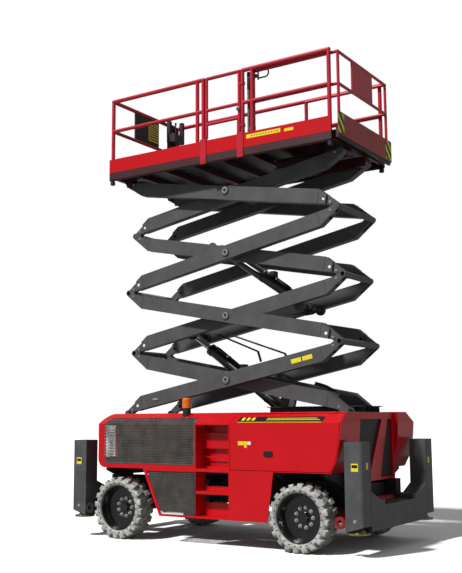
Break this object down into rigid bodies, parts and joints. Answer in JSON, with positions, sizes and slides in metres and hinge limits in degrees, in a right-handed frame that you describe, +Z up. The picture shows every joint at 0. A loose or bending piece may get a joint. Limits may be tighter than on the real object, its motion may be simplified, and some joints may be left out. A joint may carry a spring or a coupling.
{
  "type": "rough terrain scissor lift",
  "caption": "Rough terrain scissor lift on solid tyres, raised arm stack, sliding deck extension, guard rails, outriggers and hooded chassis.",
  "frame": {"origin": "on the ground under the middle of the machine", "axes": "+X towards the end where the deck extension slides out, -Y to the gate side, +Z up"},
  "size_m": [4.566, 2.29, 6.45],
  "materials": {
    "red_paint": "gloss",
    "dark_red_paint": "gloss",
    "arm_paint": "satin",
    "black_paint": "satin",
    "tyre_rubber": "matte",
    "zinc": "satin",
    "amber_lens": "gloss",
    "chrome": "polished",
    "black_plastic": "matte"
  },
  "bodies": {
    "chassis": {"beacon_base": "black_plastic", "beacon_lens": "amber_lens", "end_frames": "red_paint", "end_panels": "black_paint", "engine_block": "black_paint", "fixed_grilles": "black_paint", "front_axle": "dark_red_paint", "hood_far": "red_paint", "hood_near": "red_paint", "ladder": "black_paint", "main_frame": "arm_paint", "outrigger_beams": "arm_paint", "outrigger_sleeves": "arm_paint", "rear_axle": "dark_red_paint", "scissor_deck": "arm_paint", "side_skirts": "red_paint", "tow_gear": "arm_paint"},
    "wheel_front_near": {"tyre_front_near": "tyre_rubber", "rim_front_near": "black_paint"},
    "leg_front_near": {"outrigger_leg_front_near": "arm_paint"},
    "wheel_front_far": {"tyre_front_far": "tyre_rubber", "rim_front_far": "black_paint"},
    "leg_front_far": {"outrigger_leg_front_far": "arm_paint"},
    "wheel_rear_near": {"tyre_rear_near": "tyre_rubber", "rim_rear_near": "black_paint"},
    "leg_rear_near": {"outrigger_leg_rear_near": "arm_paint"},
    "wheel_rear_far": {"tyre_rear_far": "tyre_rubber", "rim_rear_far": "black_paint"},
    "leg_rear_far": {"outrigger_leg_rear_far": "arm_paint"},
    "knuckle_near": {"knuckle_near": "dark_red_paint"},
    "grille_door_near": {"grille_door_near": "black_paint"},
    "cover_door_near": {"cover_door_near": "red_paint"},
    "knuckle_far": {"knuckle_far": "dark_red_paint"},
    "grille_door_far": {"grille_door_far": "black_paint"},
    "cover_door_far": {"cover_door_far": "red_paint"},
    "outer_arm_1": {"outer_arm_1": "arm_paint"},
    "outer_arm_2": {"outer_arm_2": "arm_paint"},
    "outer_arm_3": {"outer_arm_3": "arm_paint"},
    "outer_arm_4": {"outer_arm_4": "arm_paint"},
    "inner_arm_1": {"inner_arm_1": "arm_paint"},
    "inner_arm_2": {"inner_arm_2": "arm_paint"},
    "inner_arm_3": {"inner_arm_3": "arm_paint"},
    "inner_arm_4": {"inner_arm_4": "arm_paint"},
    "low_ram_barrel": {"low_ram_barrel": "black_paint"},
    "low_ram_rod": {"low_ram_rod": "chrome"},
    "top_ram_barrel": {"top_ram_barrel": "black_paint"},
    "top_ram_rod": {"top_ram_rod": "chrome"},
    "platform": {"platform_frame": "dark_red_paint", "bumpers": "black_plastic", "platform_floor": "zinc", "toe_boards": "red_paint", "guard_rails": "dark_red_paint", "rear_sign": "dark_red_paint", "control_box": "black_plastic"},
    "extension": {"extension_deck": "zinc", "extension_toe_board": "red_paint", "extension_rails": "dark_red_paint", "extension_handle": "black_plastic", "front_sign": "dark_red_paint"},
    "gate": {"gate": "dark_red_paint"}
  },
  "joints": [
    {"name": "lift", "type": "hinge", "parent": "chassis", "child": "outer_arm_1", "pos_m": [-1.73174, 0, 1.715], "axis": [0, -1, 0], "range_deg": [-9, 34]},
    {"name": "inner_arm_1_pivot", "type": "hinge", "parent": "outer_arm_1", "child": "inner_arm_1", "pos_m": [0, 0, 2.158], "axis": [0, -1, 0], "range_deg": [-68.4, 18.4]},
    {"name": "outer_arm_2_pivot", "type": "hinge", "parent": "outer_arm_1", "child": "outer_arm_2", "pos_m": [1.73174, 0, 2.601], "axis": [0, -1, 0], "range_deg": [-68.4, 18.4]},
    {"name": "inner_arm_2_pivot", "type": "hinge", "parent": "outer_arm_2", "child": "inner_arm_2", "pos_m": [0, 0, 3.044], "axis": [0, -1, 0], "range_deg": [-18.4, 68.4]},
    {"name": "outer_arm_3_pivot", "type": "hinge", "parent": "outer_arm_2", "child": "outer_arm_3", "pos_m": [-1.73174, 0, 3.487], "axis": [0, -1, 0], "range_deg": [-18.4, 68.4]},
    {"name": "inner_arm_3_pivot", "type": "hinge", "parent": "outer_arm_3", "child": "inner_arm_3", "pos_m": [0, 0, 3.93], "axis": [0, -1, 0], "range_deg": [-68.4, 18.4]},
    {"name": "outer_arm_4_pivot", "type": "hinge", "parent": "outer_arm_3", "child": "outer_arm_4", "pos_m": [1.73174, 0, 4.373], "axis": [0, -1, 0], "range_deg": [-68.4, 18.4]},
    {"name": "inner_arm_4_pivot", "type": "hinge", "parent": "outer_arm_4", "child": "inner_arm_4", "pos_m": [0, 0, 4.816], "axis": [0, -1, 0], "range_deg": [-18.4, 68.4]},
    {"name": "platform_pivot", "type": "hinge", "parent": "outer_arm_4", "child": "platform", "pos_m": [-1.75019, 0, 5.14038], "axis": [0, -1, 0], "range_deg": [-9.2, 34.2]},
    {"name": "low_ram_pivot", "type": "hinge", "parent": "inner_arm_1", "child": "low_ram_barrel", "pos_m": [0.62, 0, 1.7], "axis": [0, -1, 0], "range_deg": [-3.42, 0.92]},
    {"name": "low_ram_stroke", "type": "slide", "parent": "low_ram_barrel", "child": "low_ram_rod", "axis": [-0.8025, 0, 0.5967], "range_m": [-0.2485, 0.9305]},
    {"name": "top_ram_pivot", "type": "hinge", "parent": "inner_arm_3", "child": "top_ram_barrel", "pos_m": [-0.4, 0, 4.08], "axis": [0, -1, 0], "range_deg": [-1.71, 0.46]},
    {"name": "top_ram_stroke", "type": "slide", "parent": "top_ram_barrel", "child": "top_ram_rod", "axis": [0.8289, 0, -0.5594], "range_m": [-0.2366, 0.8854]},
    {"name": "steer_near", "type": "hinge", "parent": "chassis", "child": "knuckle_near", "pos_m": [1.38, -0.7, 0.418], "axis": [0, 0, 1], "range_deg": [-30, 30]},
    {"name": "steer_far", "type": "hinge", "parent": "chassis", "child": "knuckle_far", "pos_m": [1.38, 0.7, 0.418], "axis": [0, 0, 1], "range_deg": [-30.5, 30.5]},
    {"name": "spin_rear_near", "type": "hinge", "parent": "chassis", "child": "wheel_rear_near", "pos_m": [-1.46, -0.965, 0.418], "axis": [0, 1, 0], "continuous": true},
    {"name": "spin_rear_far", "type": "hinge", "parent": "chassis", "child": "wheel_rear_far", "pos_m": [-1.46, 0.965, 0.418], "axis": [0, 1, 0], "continuous": true},
    {"name": "spin_front_near", "type": "hinge", "parent": "knuckle_near", "child": "wheel_front_near", "pos_m": [1.38, -0.965, 0.418], "axis": [0, 1, 0], "continuous": true},
    {"name": "spin_front_far", "type": "hinge", "parent": "knuckle_far", "child": "wheel_front_far", "pos_m": [1.38, 0.965, 0.418], "axis": [0, 1, 0], "continuous": true},
    {"name": "leg_rear_near_stroke", "type": "slide", "parent": "chassis", "child": "leg_rear_near", "axis": [0, 0, -1], "range_m": [0, 0.43]},
    {"name": "leg_rear_far_stroke", "type": "slide", "parent": "chassis", "child": "leg_rear_far", "axis": [0, 0, -1], "range_m": [0, 0.43]},
    {"name": "leg_front_near_stroke", "type": "slide", "parent": "chassis", "child": "leg_front_near", "axis": [0, 0, -1], "range_m": [0, 0.43]},
    {"name": "leg_front_far_stroke", "type": "slide", "parent": "chassis", "child": "leg_front_far", "axis": [0, 0, -1], "range_m": [0, 0.43]},
    {"name": "grille_door_near_hinge", "type": "hinge", "parent": "chassis", "child": "grille_door_near", "pos_m": [-0.906, -1.02514, 1.64379], "axis": [-1, 0, 0], "range_deg": [0, 80]},
    {"name": "cover_door_near_hinge", "type": "hinge", "parent": "chassis", "child": "cover_door_near", "pos_m": [1.18, -0.94506, 1.69379], "axis": [-1, 0, 0], "range_deg": [0, 80]},
    {"name": "grille_door_far_hinge", "type": "hinge", "parent": "chassis", "child": "grille_door_far", "pos_m": [-0.906, 1.02514, 1.64379], "axis": [1, 0, 0], "range_deg": [0, 80]},
    {"name": "cover_door_far_hinge", "type": "hinge", "parent": "chassis", "child": "cover_door_far", "pos_m": [1.18, 0.94506, 1.69379], "axis": [1, 0, 0], "range_deg": [0, 80]},
    {"name": "extension_slide", "type": "slide", "parent": "platform", "child": "extension", "axis": [1, 0, 0], "range_m": [0, 1.15]},
    {"name": "gate_hinge", "type": "hinge", "parent": "platform", "child": "gate", "pos_m": [0.452, -0.808, 5.9], "axis": [0, 0, -1], "range_deg": [0, 88]}
  ],
  "couplings": [
    {"joint": "inner_arm_1_pivot", "follows": "lift", "ratio": -2},
    {"joint": "outer_arm_2_pivot", "follows": "lift", "ratio": -2},
    {"joint": "inner_arm_2_pivot", "follows": "lift", "ratio": 2},
    {"joint": "outer_arm_3_pivot", "follows": "lift", "ratio": 2},
    {"joint": "inner_arm_3_pivot", "follows": "lift", "ratio": -2},
    {"joint": "outer_arm_4_pivot", "follows": "lift", "ratio": -2},
    {"joint": "inner_arm_4_pivot", "follows": "lift", "ratio": 2},
    {"joint": "platform_pivot", "follows": "lift", "ratio": 1},
    {"joint": "low_ram_pivot", "follows": "lift", "ratio": -0.1},
    {"joint": "low_ram_stroke", "follows": "lift", "m_per_rad": 1.563},
    {"joint": "top_ram_pivot", "follows": "lift", "ratio": -0.05},
    {"joint": "top_ram_stroke", "follows": "lift", "m_per_rad": 1.487},
    {"joint": "steer_far", "follows": "steer_near", "ratio": 1}
  ]
}
